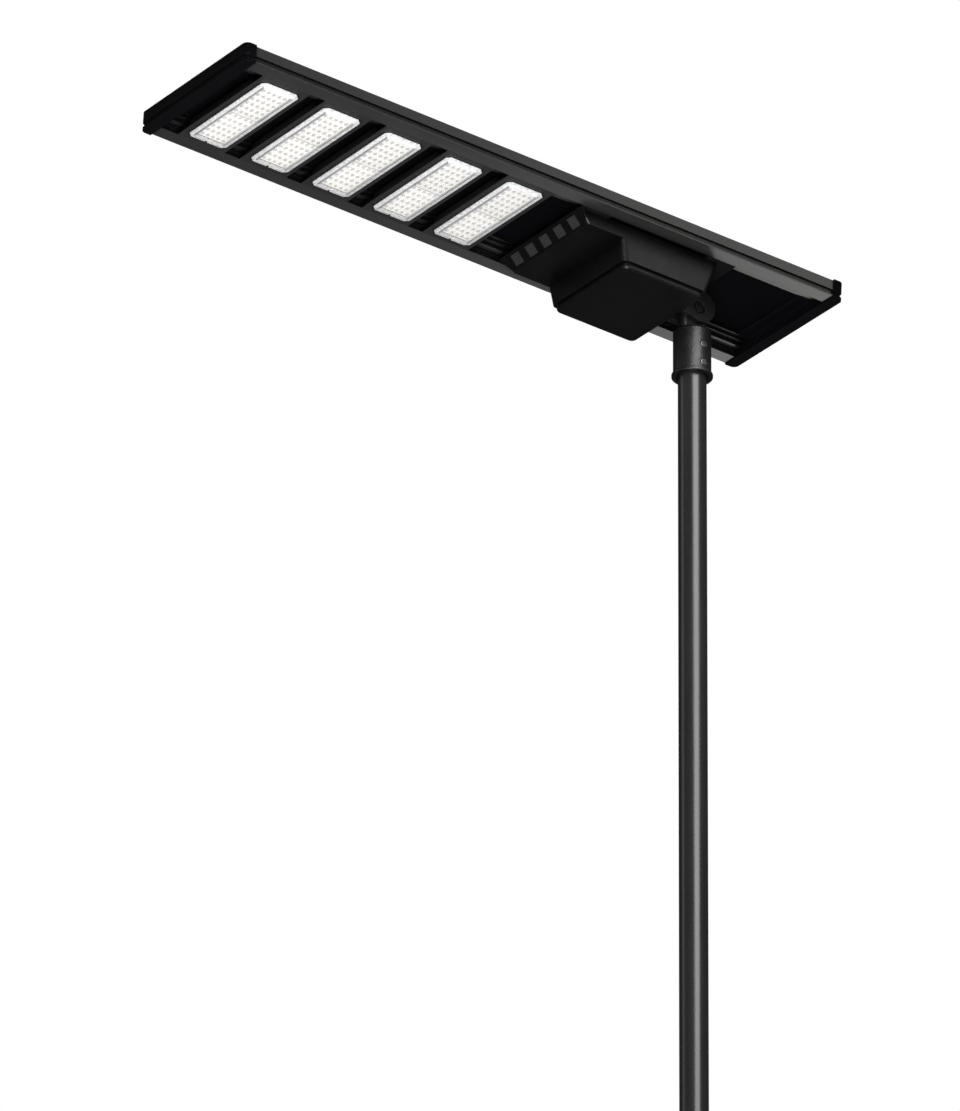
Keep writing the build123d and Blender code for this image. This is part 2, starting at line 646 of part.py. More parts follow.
# ---- Cover, gasket and screws --------------------------------------------------------------------------
cover_x = (housing_rear_rim + cover_rim_inset, housing_front_rim - cover_rim_inset)
cover_half = housing_half_w_rim - cover_rim_inset
cover = slab(cover_x, cover_half, (cover_bottom, cover_top), cover_corner_r)
cover = fillet(cover.faces().sort_by(Axis.Z)[0].edges(), cover_edge_r)
pan_x = (cover_x[0] + cover_side_wall, cover_x[1] - cover_side_wall)
pan = slab(pan_x, cover_half - cover_side_wall, (cover_bottom + cover_wall, cover_top), cover_inner_r)
cover -= pan
screw_xs = (cover_x[0] + cover_screw_inset, sum(cover_x) / 2, cover_x[1] - cover_screw_inset)
cover_screws = []
for x in screw_xs:
    for side in (1, -1):
        y = side * (opening_half + cover_boss_d / 2 + cover_boss_gap)
        floor_z = cover_bottom + cover_wall
        seat_z = -rim_depth + w
        post = rod(cover_boss_d, (x, y, floor_z), (x, y, -rim_depth))
        hole = rod(cover_screw_d, (x, y, floor_z + cover_screw_cap), (x, y, seat_z))
        head = rod(cover_screw_head_d, (x, y, seat_z), (x, y, seat_z + cover_screw_head_h))
        cover += post
        cover -= hole
        housing -= hole
        cover_screws.append(hole + head)
gasket_outer_x = (housing_rear_rim + cover_gap_inset, housing_front_rim - cover_gap_inset)
gasket_outer_half = housing_half_w_rim - cover_gap_inset
gasket_z = (cover_top, -rim_depth)
seal = slab(gasket_outer_x, gasket_outer_half, gasket_z, cover_gasket_r[0])
gw = cover_gasket_w
seal -= slab((gasket_outer_x[0] + gw, gasket_outer_x[1] - gw), gasket_outer_half - gw, gasket_z,
             cover_gasket_r[1])
add_to_head("battery_housing", housing)
add_to_head("battery_cover", cover)
add_to_head("cover_gasket", seal)
add_to_head("cover_screws", cover_screws)

# ---- Battery pack and electronics ----------------------------------------------------------------------
pack_bottom = cover_bottom + cover_wall + pack_bottom_gap
pack_top = inner_top - wiring_space
pack_rear = opening_x[0] + pack_rear_gap
pack_nx = int((opening_x[1] - pack_rear - bms_gap - bms_t) / cell_pitch)
pack_ny = int(2 * (opening_half - pack_side_gap) / cell_pitch)
pack_x = (pack_rear, pack_rear + pack_nx * cell_pitch)
pack_centre_x = sum(pack_x) / 2
battery = []
lower_holder = slab(pack_x, pack_ny * cell_pitch / 2, (pack_bottom, pack_bottom + holder_t), holder_corner_r)
upper_holder = slab(pack_x, pack_ny * cell_pitch / 2, (pack_top - holder_t, pack_top), holder_corner_r)
for spot in GridLocations(cell_pitch, cell_pitch, pack_nx, pack_ny):
    x = pack_centre_x + spot.position.X
    y = spot.position.Y
    battery.append(rod(cell_d, (x, y, pack_bottom), (x, y, pack_top)))
    socket = rod(cell_d + fit_gap, (x, y, pack_bottom), (x, y, pack_top))
    lower_holder -= socket
    upper_holder -= socket
add_to_head("battery_cells", battery)
add_to_head("cell_holders", [lower_holder, upper_holder])
bms_x = (pack_x[1] + bms_gap, pack_x[1] + bms_gap + bms_t)
bms_z = (pack_bottom + bms_rise, pack_bottom + bms_rise + bms_size[1])
add_to_head("bms_board", slab(bms_x, bms_size[0] / 2, bms_z))
controller_rear = housing_front_top + controller_gap
controller_x = (controller_rear, controller_rear + controller_size[0])
controller_z = (-(step_depth - w), -(step_depth - w) + controller_size[2])
controller = slab(controller_x, controller_size[1] / 2, controller_z, controller_corner_r)
add_to_head("charge_controller", controller)

# ---- Pivot bracket: pad under the rear beam, web on the housing, two lugs ----------------------------------
rear_slope = (housing_rear_rim - housing_rear_top) / (housing_top + rim_depth)
bracket_low = rim_depth - bracket_rim_gap


def wall_x(z):
    """X of the housing's rear wall at height z."""
    return housing_rear_top + rear_slope * (housing_top - z) - fit_gap


lug_top = housing_top - bracket_pad_t
lug_side = Polygon(
    (-lug_back, housing_top),
    (wall_x(housing_top), housing_top),
    (wall_x(-bracket_low), -bracket_low),
    (-lug_back, -pivot_depth + lug_up - lug_r),
    align=None,
)
web_side = Polygon(
    (wall_x(housing_top) - bracket_web_t, housing_top),
    (wall_x(housing_top), housing_top),
    (wall_x(-bracket_low), -bracket_low),
    (wall_x(-bracket_low) - bracket_web_t, -bracket_low),
    align=None,
)
side_plane = Plane((0, 0, 0), x_dir=(1, 0, 0), z_dir=(0, -1, 0))
bracket = extrude(side_plane * web_side, cheek_outer, both=True)
lugs = extrude(side_plane * lug_side, cheek_outer, both=True)
lug_centre_z = -pivot_depth + lug_up
lugs += rod(2 * lug_r, (-lug_back, -cheek_outer, lug_centre_z), (-lug_back, cheek_outer, lug_centre_z))
lugs &= box((-head_width, head_width), (-cheek_outer, cheek_outer), (-head_width, housing_top))
lugs -= box((-head_width, head_width), (-cheek_inner, cheek_inner), (-head_width, housing_top))
bracket += lugs
pad_x = (rear_beam_x[0], wall_x(housing_top))
bracket += slab(pad_x, bracket_pad_w / 2, (lug_top, housing_top))
bolt_hole_d = pivot_bolt_d + 2 * pivot_gap
bracket -= rod(bolt_hole_d, (0, -cheek_outer, -pivot_depth), (0, cheek_outer, -pivot_depth))
recess_y = cheek_outer - bolt_recess_depth
for side in (1, -1):
    bracket -= rod(bolt_recess_d, (0, side * recess_y, -pivot_depth), (0, side * cheek_outer, -pivot_depth))
bracket_screws = []
for y in (-bracket_screw_y, bracket_screw_y):
    hole = rod(bracket_screw_d, (bracket_screw_x, y, lug_top), (bracket_screw_x, y, beam_top))
    bracket -= hole
    head_bottom = lug_top - bracket_screw_head_h
    head = hex_rod(bracket_screw_af, (bracket_screw_x, y, head_bottom), (bracket_screw_x, y, lug_top))
    bracket_screws.append(hole + head)
add_to_head("pivot_bracket", bracket)
add_to_head("pivot_bracket_screws", bracket_screws)

bolt = hex_rod(bolt_head_af, (0, recess_y, -pivot_depth), (0, recess_y + bolt_head_h, -pivot_depth))
bolt += rod(pivot_bolt_d, (0, -cheek_outer + bolt_end_gap, -pivot_depth), (0, recess_y, -pivot_depth))
add_to_head("pivot_bolt", bolt)
nut = hex_rod(bolt_head_af, (0, -recess_y, -pivot_depth), (0, -recess_y - nut_h, -pivot_depth))
nut -= rod(pivot_bolt_d, (0, -cheek_outer, -pivot_depth), (0, -recess_y, -pivot_depth))
add_to_head("pivot_nut", nut)

# ---- Export ------------------------------------------------------------------------------------------------
os.makedirs("parts", exist_ok=True)
for name, solids in nodes.items():
    shape = solids[0] if len(solids) == 1 else Compound(children=[Solid(s.wrapped) for s in solids])
    export_step(shape, f"parts/{name}.step")
print(len(nodes), "nodes written")
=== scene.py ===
import math

import bpy
from mathutils import Matrix, Vector


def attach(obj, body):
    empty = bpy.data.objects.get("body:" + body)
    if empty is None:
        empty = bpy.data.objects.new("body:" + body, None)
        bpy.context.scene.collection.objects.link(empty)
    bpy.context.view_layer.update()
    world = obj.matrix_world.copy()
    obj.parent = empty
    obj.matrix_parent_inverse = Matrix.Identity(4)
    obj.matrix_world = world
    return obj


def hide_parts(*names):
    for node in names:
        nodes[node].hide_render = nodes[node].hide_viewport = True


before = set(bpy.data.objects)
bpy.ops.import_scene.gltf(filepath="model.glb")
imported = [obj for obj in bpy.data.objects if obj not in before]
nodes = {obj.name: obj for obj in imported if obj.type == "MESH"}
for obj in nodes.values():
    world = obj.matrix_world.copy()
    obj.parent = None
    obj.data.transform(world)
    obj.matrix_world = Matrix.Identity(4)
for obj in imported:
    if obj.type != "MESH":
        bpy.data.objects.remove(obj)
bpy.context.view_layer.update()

mm = 0.001

# The head is drawn level, with z = 0 on the rails' underside above the post's axis, then hung on its pivot
head = {"tilt": 3.0, "pivotZ": 3.082, "pivotDepth": 0.041}
headToWorld = (
    Matrix.Translation((0, 0, head["pivotZ"]))
    @ Matrix.Rotation(-math.radians(head["tilt"]), 4, "Y")
    @ Matrix.Translation((0, 0, head["pivotDepth"]))
)


def clearSelection():
    if bpy.context.object and bpy.context.object.mode != "OBJECT":
        bpy.ops.object.mode_set(mode="OBJECT")
    bpy.ops.object.select_all(action="DESELECT")


def onlySelect(piece):
    clearSelection()
    piece.select_set(True)
    bpy.context.view_layer.objects.active = piece


def startBox(name, low, high):
    clearSelection()
    centre = [(a + b) / 2 for a, b in zip(low, high)]
    bpy.ops.mesh.primitive_cube_add(size=1, location=centre)
    piece = bpy.context.object
    piece.name = name
    piece.scale = [b - a for a, b in zip(low, high)]
    bpy.ops.object.transform_apply(location=True, rotation=True, scale=True)
    return piece


def pickFaces(piece, test):
    # Leaves edit mode on with only the faces that pass the test selected
    onlySelect(piece)
    bpy.ops.object.mode_set(mode="EDIT")
    bpy.ops.mesh.select_mode(type="FACE")
    bpy.ops.mesh.select_all(action="DESELECT")
    bpy.ops.object.mode_set(mode="OBJECT")
    for face in piece.data.polygons:
        face.select = test(face.center, face.normal)
    bpy.ops.object.mode_set(mode="EDIT")


def pickEdges(piece, test):
    # Leaves edit mode on with only the edges that pass the test selected; the test gets both ends
    onlySelect(piece)
    bpy.ops.object.mode_set(mode="EDIT")
    bpy.ops.mesh.select_mode(type="EDGE")
    bpy.ops.mesh.select_all(action="DESELECT")
    bpy.ops.object.mode_set(mode="OBJECT")
    points = piece.data.vertices
    for edge in piece.data.edges:
        edge.select = test(points[edge.vertices[0]].co, points[edge.vertices[1]].co)
    bpy.ops.object.mode_set(mode="EDIT")


def leaveEdit():
    bpy.ops.mesh.select_all(action="DESELECT")
    bpy.ops.object.mode_set(mode="OBJECT")


def applyModifiers(piece):
    onlySelect(piece)
    for modifier in list(piece.modifiers):
        bpy.ops.object.modifier_apply(modifier=modifier.name)


def assignSlot(piece, index):
    # Gives the selected faces the piece's material of that number, and leaves edit mode
    piece.active_material_index = index
    bpy.ops.object.material_slot_assign()
    leaveEdit()


def closeMesh(piece):
    # Doubles merged, then every face turned outwards
    pickFaces(piece, lambda centre, normal: True)
    bpy.ops.mesh.remove_doubles(threshold=0.01 * mm)
    bpy.ops.mesh.select_all(action="SELECT")
    bpy.ops.mesh.normals_make_consistent(inside=False)
    leaveEdit()


def repeat(piece, count, step):
    # Copies in a row, as one mesh
    modifier = piece.modifiers.new("row", "ARRAY")
    modifier.count = count
    modifier.use_relative_offset = False
    modifier.use_constant_offset = True
    modifier.constant_offset_displace = step
    applyModifiers(piece)


def ownCopy(piece, name, shift=(0, 0, 0)):
    twin = piece.copy()
    twin.data = piece.data.copy()
    twin.name = name
    bpy.context.collection.objects.link(twin)
    twin.data.transform(Matrix.Translation(shift))
    return twin


def joinPieces(pieces, name):
    clearSelection()
    for piece in pieces:
        piece.select_set(True)
    bpy.context.view_layer.objects.active = pieces[0]
    bpy.ops.object.join()
    joined = bpy.context.object
    joined.name = name
    return joined


def smoothByAngle(piece, degrees=35):
    onlySelect(piece)
    bpy.ops.object.shade_smooth_by_angle(angle=math.radians(degrees))


def hangOnHead(piece):
    # From the level head frame to the lamp's own frame, place kept in the mesh
    piece.data.transform(headToWorld)
    piece.data.update()
    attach(piece, "head")
    return piece


noiseSpan = (0.3, 0.7)  # where most of a noise pattern lies


def newMaterial(name):
    material = bpy.data.materials.new(name)
    material.use_nodes = True
    tree = material.node_tree
    return material, tree, tree.nodes["Principled BSDF"]


def addNode(tree, kind, values=None, **settings):
    node = tree.nodes.new(kind)
    for key, value in settings.items():
        setattr(node, key, value)
    for key, value in (values or {}).items():
        node.inputs[key].default_value = value
    return node


def link(tree, start, startSocket, end, endSocket):
    tree.links.new(start.outputs[startSocket], end.inputs[endSocket])


def rampNode(tree, stops):
    ramp = tree.nodes.new("ShaderNodeValToRGB")
    elements = ramp.color_ramp.elements
    while len(elements) < len(stops):
        elements.new(0.5)
    for element, (place, colour) in zip(elements, stops):
        element.position = place
        element.color = (*colour, 1) if len(colour) == 3 else colour
    return ramp


def spreadNode(tree, source, socket, span, values):
    # Stretches the middle span of a pattern to a range of values
    spread = addNode(tree, "ShaderNodeMapRange", {
        "From Min": span[0], "From Max": span[1], "To Min": values[0], "To Max": values[1]})
    link(tree, source, socket, spread, "Value")
    return spread


def bumpNode(tree, source, socket, shader, strength, depth):
    bump = addNode(tree, "ShaderNodeBump", {"Strength": strength, "Distance": depth})
    link(tree, source, socket, bump, "Height")
    link(tree, bump, "Normal", shader, "Normal")
    return bump


def shade(colour, factor):
    return tuple(min(1.0, part * factor) for part in colour)


def edgeMask(tree, radius):
    # 1 on outer edges and in corners, 0 on flat faces
    soft = addNode(tree, "ShaderNodeBevel", {"Radius": radius}, samples=4)
    flat = addNode(tree, "ShaderNodeNewGeometry")
    dot = addNode(tree, "ShaderNodeVectorMath", operation="DOT_PRODUCT")
    link(tree, soft, "Normal", dot, 0)
    link(tree, flat, "Normal", dot, 1)
    return spreadNode(tree, dot, "Value", (0.99, 0.8), (0.0, 1.0))


def recessShadeMask(tree, reach):
    # 1 out in the open, nearly 0 deep in grooves and bays: painted shade, darkening the coat where shadow
    # falls
    hidden = addNode(tree, "ShaderNodeAmbientOcclusion", {"Distance": reach}, samples=6)
    return spreadNode(tree, hidden, "AO", (0.66, 0.97), (0.05, 1.0))


def coatedFinish(name, look):
    # Paint, powder coat, anodising or moulded plastic: cloudy colour, fine grain and rubbed edges, and
    # painted shade in grooves and bays where a recess reach is given
    material, tree, shader = newMaterial(name)
    coords = addNode(tree, "ShaderNodeTexCoord")
    mapping = addNode(tree, "ShaderNodeMapping", {"Scale": look.get("stretch", (1, 1, 1))})
    link(tree, coords, "Object", mapping, "Vector")
    cloud = addNode(tree, "ShaderNodeTexNoise", {
        "Scale": look["cloudScale"], "Detail": 5.0, "Roughness": 0.6})
    link(tree, mapping, "Vector", cloud, "Vector")
    colour = look["colour"]
    cloudy = (shade(colour, 1 - look["cloud"]), shade(colour, 1 + look["cloud"]))
    ramp = rampNode(tree, list(zip(noiseSpan, cloudy)))
    link(tree, cloud, "Fac", ramp, "Fac")
    grain = addNode(tree, "ShaderNodeTexNoise", {"Scale": look["grainScale"], "Detail": 2.0})
    link(tree, mapping, "Vector", grain, "Vector")
    edge = look.get("edge", 1.5 * mm)
    mask = edgeMask(tree, edge)
    patchy = addNode(tree, "ShaderNodeMath", operation="MULTIPLY")
    link(tree, mask, "Result", patchy, 0)
    link(tree, cloud, "Fac", patchy, 1)
    worn = addNode(tree, "ShaderNodeMix", data_type="RGBA")
    worn.inputs[7].default_value = (*look["wornColour"], 1)
    link(tree, patchy, "Value", worn, 0)
    link(tree, ramp, "Color", worn, 6)
    tree.links.new(worn.outputs[2], shader.inputs["Base Color"])
    # Painted shade: the colour is darkened where the coat lies deep in grooves and bays, where shadow falls
    if "recess" in look:
        shadedInRecess = addNode(tree, "ShaderNodeMix", data_type="RGBA", blend_type="MULTIPLY")
        shadedInRecess.inputs[0].default_value = 1.0
        tree.links.new(worn.outputs[2], shadedInRecess.inputs[6])
        link(tree, recessShadeMask(tree, look["recess"]), "Result", shadedInRecess, 7)
        tree.links.new(shadedInRecess.outputs[2], shader.inputs["Base Color"])
    roughRange = (look["roughness"] - look["roughSpread"], look["roughness"] + look["roughSpread"])
    rough = spreadNode(tree, cloud, "Fac", noiseSpan, roughRange)
    link(tree, rough, "Result", shader, "Roughness")
    bump = bumpNode(tree, grain, "Fac", shader, look["bump"], look["bumpDepth"])
    soft = addNode(tree, "ShaderNodeBevel", {"Radius": edge * 0.5}, samples=4)
    link(tree, soft, "Normal", bump, "Normal")
    shader.inputs["Metallic"].default_value = look.get("metallic", 0.0)
    shader.inputs["Specular IOR Level"].default_value = look.get("specular", 0.5)
    shader.inputs["Coat Weight"].default_value = look.get("coat", 0.0)
    shader.inputs["Coat Roughness"].default_value = look.get("coatRoughness", 0.2)
    return material


# A look's recess is how far its painted shade in grooves and bays reaches
finishes = {
    "postPaint": {
        "colour": (0.011, 0.0108, 0.0115), "cloud": 0.18, "cloudScale": 6.0, "stretch": (1, 1, 0.25),
        "grainScale": 1400.0, "bump": 0.10, "bumpDepth": 0.05 * mm, "roughness": 0.27, "roughSpread": 0.03,
        "wornColour": (0.05, 0.05, 0.052), "specular": 0.5},
    "castCoat": {
        "colour": (0.006, 0.0057, 0.0063), "cloud": 0.2, "cloudScale": 20.0,
        "grainScale": 320.0, "bump": 1.0, "bumpDepth": 0.7 * mm, "roughness": 0.38, "roughSpread": 0.06,
        "wornColour": (0.045, 0.045, 0.048), "specular": 0.45},
    "boxCoat": {
        "colour": (0.0042, 0.0037, 0.0043), "cloud": 0.2, "cloudScale": 14.0,
        "grainScale": 300.0, "bump": 1.0, "bumpDepth": 0.8 * mm, "roughness": 0.42, "roughSpread": 0.06,
        "wornColour": (0.05, 0.049, 0.052), "specular": 0.4, "recess": 60 * mm},
    "railAnodised": {
        "colour": (0.15, 0.151, 0.147), "cloud": 0.06, "cloudScale": 9.0, "stretch": (0.15, 1, 1),
        "grainScale": 700.0, "bump": 0.12, "bumpDepth": 0.04 * mm, "roughness": 0.38, "roughSpread": 0.03,
        "wornColour": (0.3, 0.3, 0.295), "metallic": 0.85, "specular": 0.3, "edge": 0.8 * mm,
        "recess": 40 * mm},
    "barAnodised": {
        "colour": (0.11, 0.11, 0.108), "cloud": 0.06, "cloudScale": 9.0, "stretch": (1, 0.15, 1),
        "grainScale": 700.0, "bump": 0.12, "bumpDepth": 0.04 * mm, "roughness": 0.4, "roughSpread": 0.04,
        "wornColour": (0.2, 0.2, 0.195), "metallic": 0.75, "specular": 0.3, "edge": 0.6 * mm,
        "recess": 40 * mm},
    "capMoulded": {
        "colour": (0.0035, 0.003, 0.0042), "cloud": 0.15, "cloudScale": 12.0,
        "grainScale": 1000.0, "bump": 0.2, "bumpDepth": 0.06 * mm, "roughness": 0.33, "roughSpread": 0.05,
        "wornColour": (0.03, 0.029, 0.032), "specular": 0.2},
    "frameMoulded": {
        "colour": (0.0022, 0.0021, 0.0024), "cloud": 0.15, "cloudScale": 16.0,
        "grainScale": 1200.0, "bump": 0.25, "bumpDepth": 0.06 * mm, "roughness": 0.5, "roughSpread": 0.06,
        "wornColour": (0.03, 0.03, 0.03), "specular": 0.25},
    "windowSmoked": {
        "colour": (0.036, 0.036, 0.035), "cloud": 0.12, "cloudScale": 60.0,
        "grainScale": 1500.0, "bump": 0.15, "bumpDepth": 0.04 * mm, "roughness": 0.3, "roughSpread": 0.05,
        "wornColour": (0.07, 0.07, 0.07), "specular": 0.5, "coat": 0.3},
    "backsheetFilm": {
        "colour": (0.0022, 0.0018, 0.0028), "cloud": 0.12, "cloudScale": 7.0,
        "grainScale": 800.0, "bump": 0.12, "bumpDepth": 0.04 * mm, "roughness": 0.5, "roughSpread": 0.08,
        "wornColour": (0.006, 0.006, 0.007), "specular": 0.12},
    "beamCoat": {
        "colour": (0.004, 0.004, 0.0042), "cloud": 0.2, "cloudScale": 18.0,
        "grainScale": 900.0, "bump": 0.3, "bumpDepth": 0.08 * mm, "roughness": 0.55, "roughSpread": 0.06,
        "wornColour": (0.03, 0.03, 0.03), "specular": 0.3},
    "screwBlack": {
        "colour": (0.02, 0.02, 0.021), "cloud": 0.25, "cloudScale": 90.0,
        "grainScale": 1500.0, "bump": 0.2, "bumpDepth": 0.04 * mm, "roughness": 0.36, "roughSpread": 0.08,
        "wornColour": (0.12, 0.12, 0.12), "metallic": 0.7, "edge": 0.5 * mm},
    "screwDull": {
        "colour": (0.12, 0.12, 0.122), "cloud": 0.2, "cloudScale": 90.0,
        "grainScale": 1500.0, "bump": 0.2, "bumpDepth": 0.04 * mm, "roughness": 0.34, "roughSpread": 0.08,
        "wornColour": (0.3, 0.3, 0.3), "metallic": 0.75, "edge": 0.5 * mm},
    "screwZinc": {
        "colour": (0.35, 0.35, 0.355), "cloud": 0.15, "cloudScale": 80.0,
        "grainScale": 1500.0, "bump": 0.2, "bumpDepth": 0.04 * mm, "roughness": 0.32, "roughSpread": 0.08,
        "wornColour": (0.55, 0.55, 0.55), "metallic": 0.9, "edge": 0.5 * mm},
    "rubberBlack": {
        "colour": (0.006, 0.006, 0.006), "cloud": 0.2, "cloudScale": 40.0,
        "grainScale": 1300.0, "bump": 0.3, "bumpDepth": 0.06 * mm, "roughness": 0.7, "roughSpread": 0.06,
        "wornColour": (0.02, 0.02, 0.02), "specular": 0.3},
    "caseMoulded": {
        "colour": (0.006, 0.006, 0.006), "cloud": 0.15, "cloudScale": 25.0,
        "grainScale": 1200.0, "bump": 0.3, "bumpDepth": 0.06 * mm, "roughness": 0.5, "roughSpread": 0.06,
        "wornColour": (0.03, 0.03, 0.03), "specular": 0.35},
    "cellWrap": {
        "colour": (0.04, 0.14, 0.4), "cloud": 0.12, "cloudScale": 30.0,
        "grainScale": 900.0, "bump": 0.1, "bumpDepth": 0.04 * mm, "roughness": 0.28, "roughSpread": 0.05,
        "wornColour": (0.2, 0.3, 0.5), "specular": 0.5},
    "boardGreen": {
        "colour": (0.015, 0.13, 0.06), "cloud": 0.2, "cloudScale": 60.0,
        "grainScale": 700.0, "bump": 0.2, "bumpDepth": 0.05 * mm, "roughness": 0.35, "roughSpread": 0.06,
        "wornColour": (0.1, 0.3, 0.2), "specular": 0.5},
    "boardWhite": {
        "colour": (0.88, 0.865, 0.84), "cloud": 0.03, "cloudScale": 40.0,
        "grainScale": 900.0, "bump": 0.08, "bumpDepth": 0.03 * mm, "roughness": 0.4, "roughSpread": 0.05,
        "wornColour": (0.9, 0.9, 0.9), "specular": 0.4},
    "packageWhite": {
        "colour": (0.75, 0.74, 0.71), "cloud": 0.05, "cloudScale": 150.0,
        "grainScale": 1500.0, "bump": 0.1, "bumpDepth": 0.03 * mm, "roughness": 0.35, "roughSpread": 0.05,
        "wornColour": (0.85, 0.85, 0.83), "specular": 0.5, "edge": 0.3 * mm},
    "phosphor": {
        "colour": (0.62, 0.47, 0.16), "cloud": 0.1, "cloudScale": 400.0,
        "grainScale": 2500.0, "bump": 0.1, "bumpDepth": 0.03 * mm, "roughness": 0.4, "roughSpread": 0.05,
        "wornColour": (0.7, 0.55, 0.2), "specular": 0.5, "edge": 0.3 * mm},
    "ribbonTin": {
        "colour": (0.42, 0.43, 0.45), "cloud": 0.1, "cloudScale": 40.0,
        "grainScale": 900.0, "bump": 0.1, "bumpDepth": 0.03 * mm, "roughness": 0.35, "roughSpread": 0.05,
        "wornColour": (0.6, 0.6, 0.62), "metallic": 0.8, "edge": 0.3 * mm},
    "weldBead": {
        "colour": (0.012, 0.0118, 0.0128), "cloud": 0.25, "cloudScale": 50.0,
        "grainScale": 500.0, "bump": 0.5, "bumpDepth": 0.2 * mm, "roughness": 0.38, "roughSpread": 0.06,
        "wornColour": (0.05, 0.05, 0.052), "specular": 0.5},
}
materials = {name: coatedFinish(name, look) for name, look in finishes.items()}

lensLooks = {
    "lensClear": {
        "colour": (0.97, 0.957, 0.94), "clear": 0.12, "cloudy": 0.26, "roughness": 0.1, "scale": 260.0},
    "lensFrosted": {
        "colour": (0.74, 0.74, 0.745), "clear": 0.5, "cloudy": 0.95, "roughness": 0.25, "scale": 170.0},
    # Painted shade for the cover's long edges and its split line
    "lensEdgeShade": {
        "colour": (0.3, 0.3, 0.31), "clear": 0.6, "cloudy": 0.9, "roughness": 0.2, "scale": 150.0},
    "lensBump": {
        "colour": (0.97, 0.97, 0.97), "clear": 0.06, "cloudy": 0.14, "roughness": 0.06, "scale": 400.0},
    "emitterGlow": {
        "colour": (0.25, 0.215, 0.175), "clear": 0.88, "cloudy": 0.97, "roughness": 0.3, "scale": 300.0}}


def lensMoulding(name, look):
    # Clear moulding over a white board: half see-through, with a fine orange-peel skin
    material, tree, shader = newMaterial(name)
    coords = addNode(tree, "ShaderNodeTexCoord")
    peel = addNode(tree, "ShaderNodeTexNoise", {"Scale": look["scale"], "Detail": 3.0})
    link(tree, coords, "Object", peel, "Vector")
    ramp = rampNode(tree, list(zip(noiseSpan, (shade(look["colour"], 0.94), look["colour"]))))
    link(tree, peel, "Fac", ramp, "Fac")
    link(tree, ramp, "Color", shader, "Base Color")
    milk = spreadNode(tree, peel, "Fac", noiseSpan, (look["clear"], look["cloudy"]))
    link(tree, milk, "Result", shader, "Alpha")
    rough = spreadNode(tree, peel, "Fac", noiseSpan, (look["roughness"] * 0.7, look["roughness"] * 1.5))
    link(tree, rough, "Result", shader, "Roughness")
    bumpNode(tree, peel, "Fac", shader, 0.25, 0.2 * mm)
    shader.inputs["Specular IOR Level"].default_value = 0.6
    return material


for name, look in lensLooks.items():
    materials[name] = lensMoulding(name, look)


def solarGlass():
    # Low-iron glass with a faint prism texture
    material, tree, shader = newMaterial("solarGlass")
    coords = addNode(tree, "ShaderNodeTexCoord")
    prism = addNode(tree, "ShaderNodeTexVoronoi", {"Scale": 900.0})
    link(tree, coords, "Object", prism, "Vector")
    dust = addNode(tree, "ShaderNodeTexNoise", {"Scale": 5.0, "Detail": 8.0, "Roughness": 0.65})
    link(tree, coords, "Object", dust, "Vector")
    dustSpan = (0.35, 0.75)
    ramp = rampNode(tree, list(zip(dustSpan, ((0.10, 0.11, 0.12), (0.30, 0.30, 0.28)))))
    link(tree, dust, "Fac", ramp, "Fac")
    link(tree, ramp, "Color", shader, "Base Color")
    film = spreadNode(tree, dust, "Fac", dustSpan, (0.06, 0.12))
    link(tree, film, "Result", shader, "Alpha")
    rough = spreadNode(tree, dust, "Fac", dustSpan, (0.08, 0.2))
    link(tree, rough, "Result", shader, "Roughness")
    bumpNode(tree, prism, "Distance", shader, 0.1, 0.05 * mm)
    shader.inputs["IOR"].default_value = 1.5
    return material


materials["solarGlass"] = solarGlass()


def siliconCell():
    # Blue-black wafer with fine printed fingers across the head
    material, tree, shader = newMaterial("siliconCell")
    coords = addNode(tree, "ShaderNodeTexCoord")
    fingers = addNode(tree, "ShaderNodeTexWave", {"Scale": 520.0, "Distortion": 0.0}, bands_direction="X")
    link(tree, coords, "Object", fingers, "Vector")
    lines = rampNode(tree, [(0.0, (0, 0, 0)), (0.93, (0, 0, 0)), (0.99, (1, 1, 1))])
    link(tree, fingers, "Fac", lines, "Fac")
    cloud = addNode(tree, "ShaderNodeTexNoise", {"Scale": 8.0, "Detail": 4.0})
    link(tree, coords, "Object", cloud, "Vector")
    wafer = rampNode(tree, list(zip(noiseSpan, ((0.004, 0.006, 0.020), (0.007, 0.011, 0.034)))))
    link(tree, cloud, "Fac", wafer, "Fac")
    printed = addNode(tree, "ShaderNodeMix", data_type="RGBA")
    printed.inputs[7].default_value = (0.10, 0.11, 0.13, 1)
    link(tree, lines, "Color", printed, 0)
    link(tree, wafer, "Color", printed, 6)
    tree.links.new(printed.outputs[2], shader.inputs["Base Color"])
    rough = spreadNode(tree, cloud, "Fac", (0.0, 1.0), (0.22, 0.38))
    link(tree, rough, "Result", shader, "Roughness")
    bumpNode(tree, lines, "Color", shader, 0.15, 0.03 * mm)
    return material


materials["siliconCell"] = siliconCell()
print("finishes made:", len(materials))

